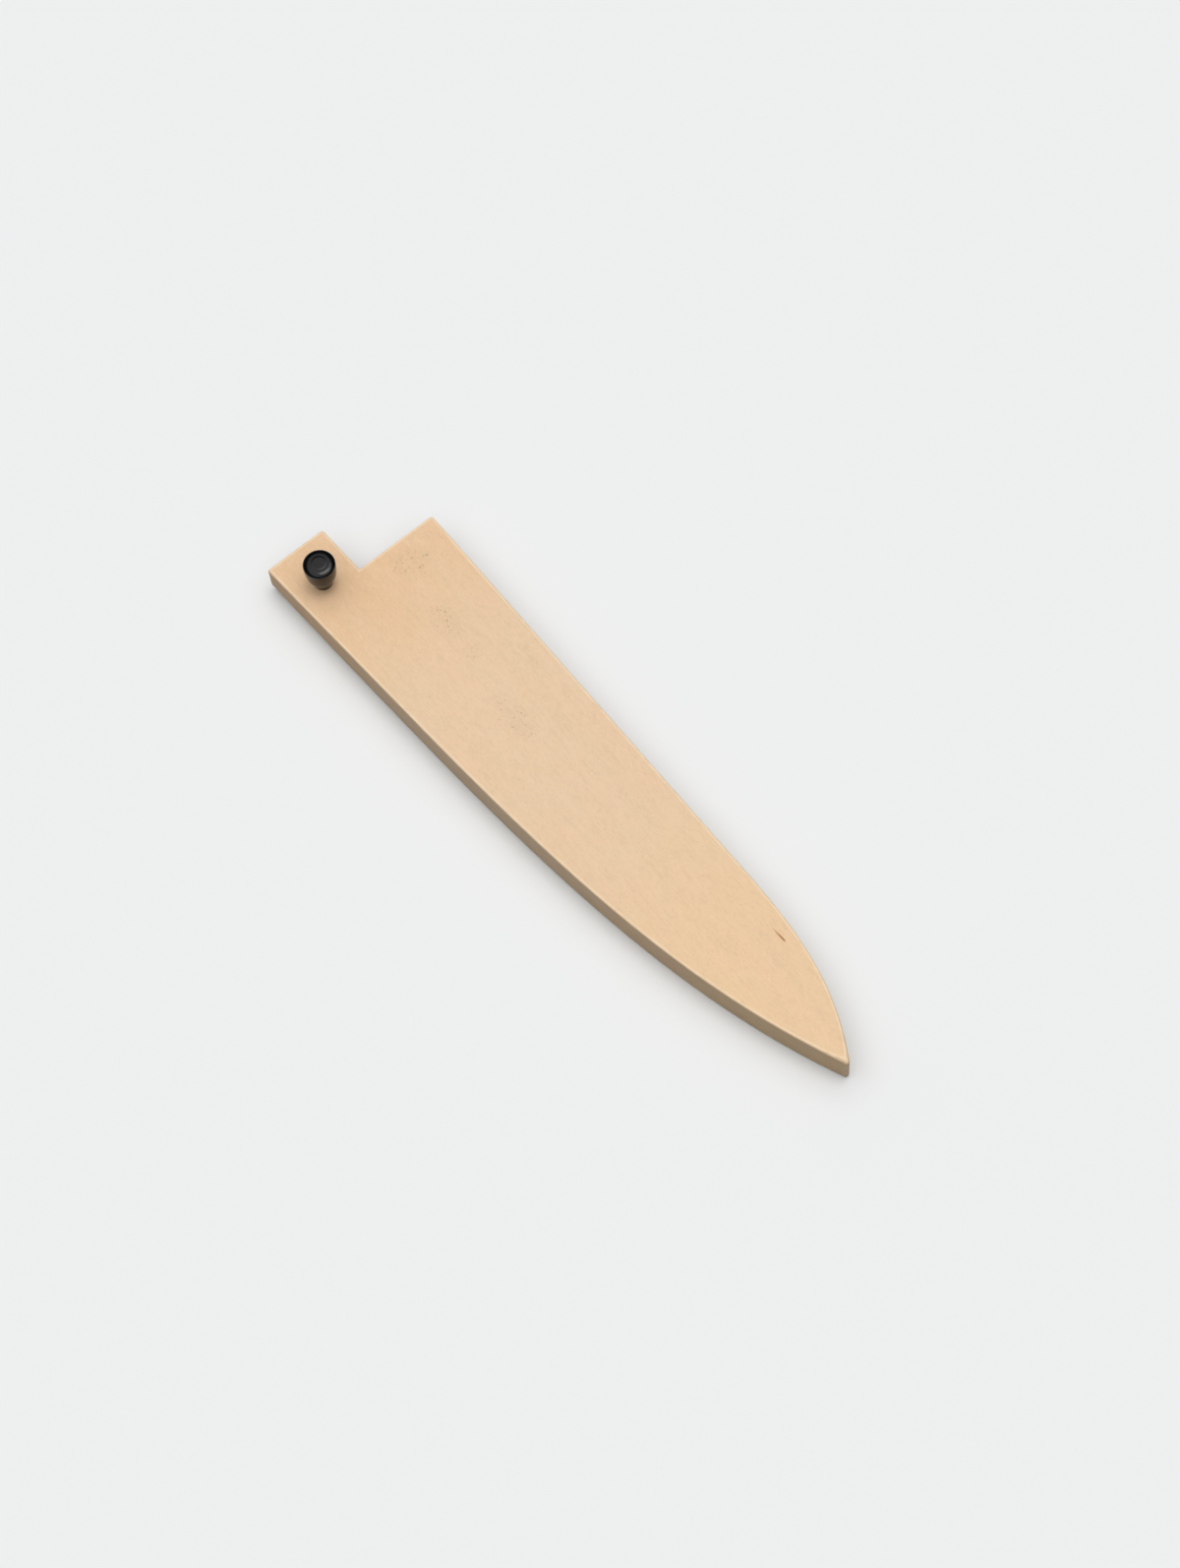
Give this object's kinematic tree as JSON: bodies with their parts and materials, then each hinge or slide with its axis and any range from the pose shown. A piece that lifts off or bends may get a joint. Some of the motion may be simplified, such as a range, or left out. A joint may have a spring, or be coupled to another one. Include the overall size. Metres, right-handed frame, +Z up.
{
  "type": "knife sheath",
  "caption": "Flat wooden sheath for a slim kitchen knife, open at the mouth and beside the heel, with a turned locking pin through its tab.",
  "frame": {"origin": "on the underside of the back cheek, at half the length and half the width", "axes": "+X from the mouth to the tip, +Y from the cutting edge to the spine, +Z up through the sheath's thickness and along the pin"},
  "size_m": [0.1858, 0.0392, 0.0187],
  "materials": {
    "wood": "bare, finely sanded, matte",
    "pin_plastic": "polished black"
  },
  "bodies": {
    "sheath": {"back_cheek": "wood", "edge_strip": "wood", "spine_strip": "wood", "front_cheek": "wood"},
    "pin": {"locking_pin": "pin_plastic"}
  },
  "joints": [
    {"name": "pin_slide", "type": "slide", "parent": "sheath", "child": "pin", "axis": [0, 0, 1], "range_m": [0, 0.016]}
  ]
}
